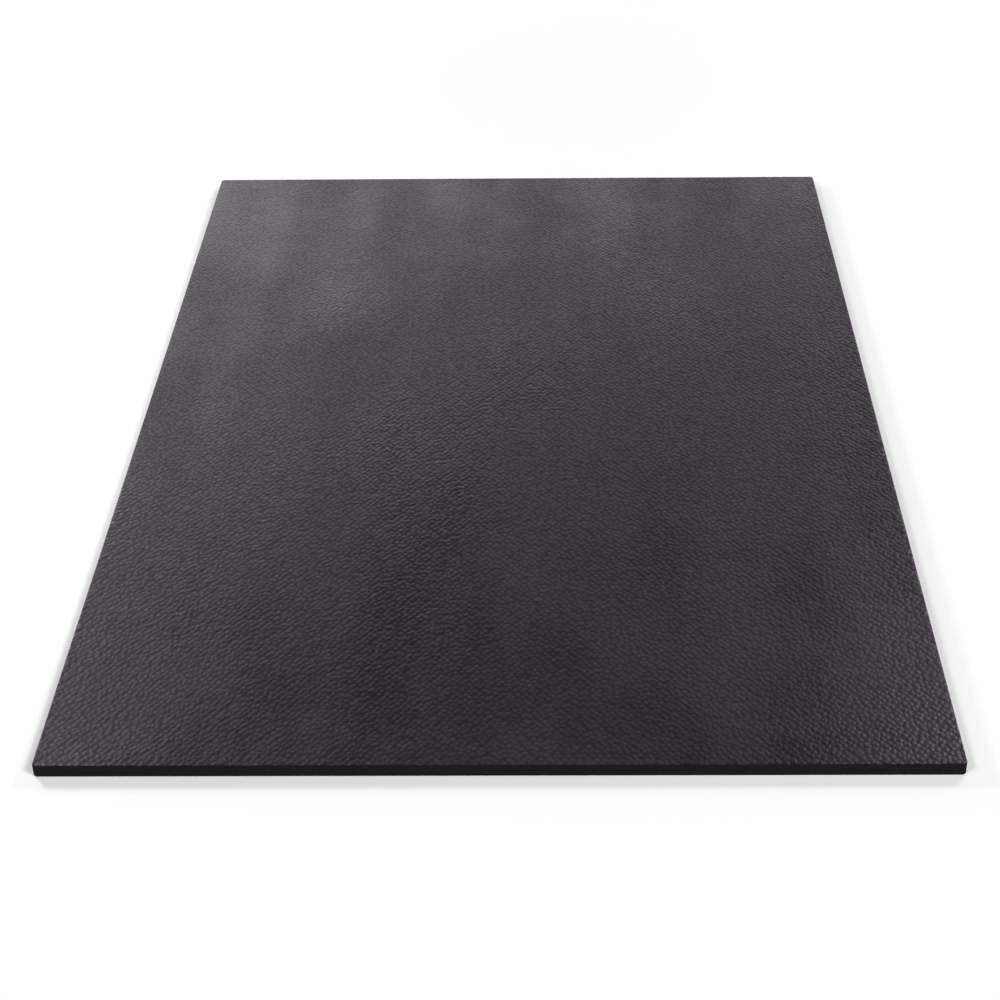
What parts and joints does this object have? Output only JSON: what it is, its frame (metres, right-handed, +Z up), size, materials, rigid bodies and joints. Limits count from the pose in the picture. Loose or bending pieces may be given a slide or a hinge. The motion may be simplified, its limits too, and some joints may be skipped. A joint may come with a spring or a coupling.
{
  "type": "rubber stall mat",
  "caption": "Flat rectangular slab of moulded rubber with a pebbled wear face, square butt edges and eased corners, laid loose as stable flooring.",
  "frame": {"origin": "on the underside, at the middle of the mat", "axes": "+X across the mat's width, +Y along its length, +Z up out of the pebbled wear face"},
  "size_m": [1.2192, 1.8288, 0.0191],
  "materials": {
    "rubber": "dull black moulded rubber with a fine pebble grain"
  },
  "bodies": {
    "root": {"stall_mat": "rubber"}
  },
  "joints": []
}
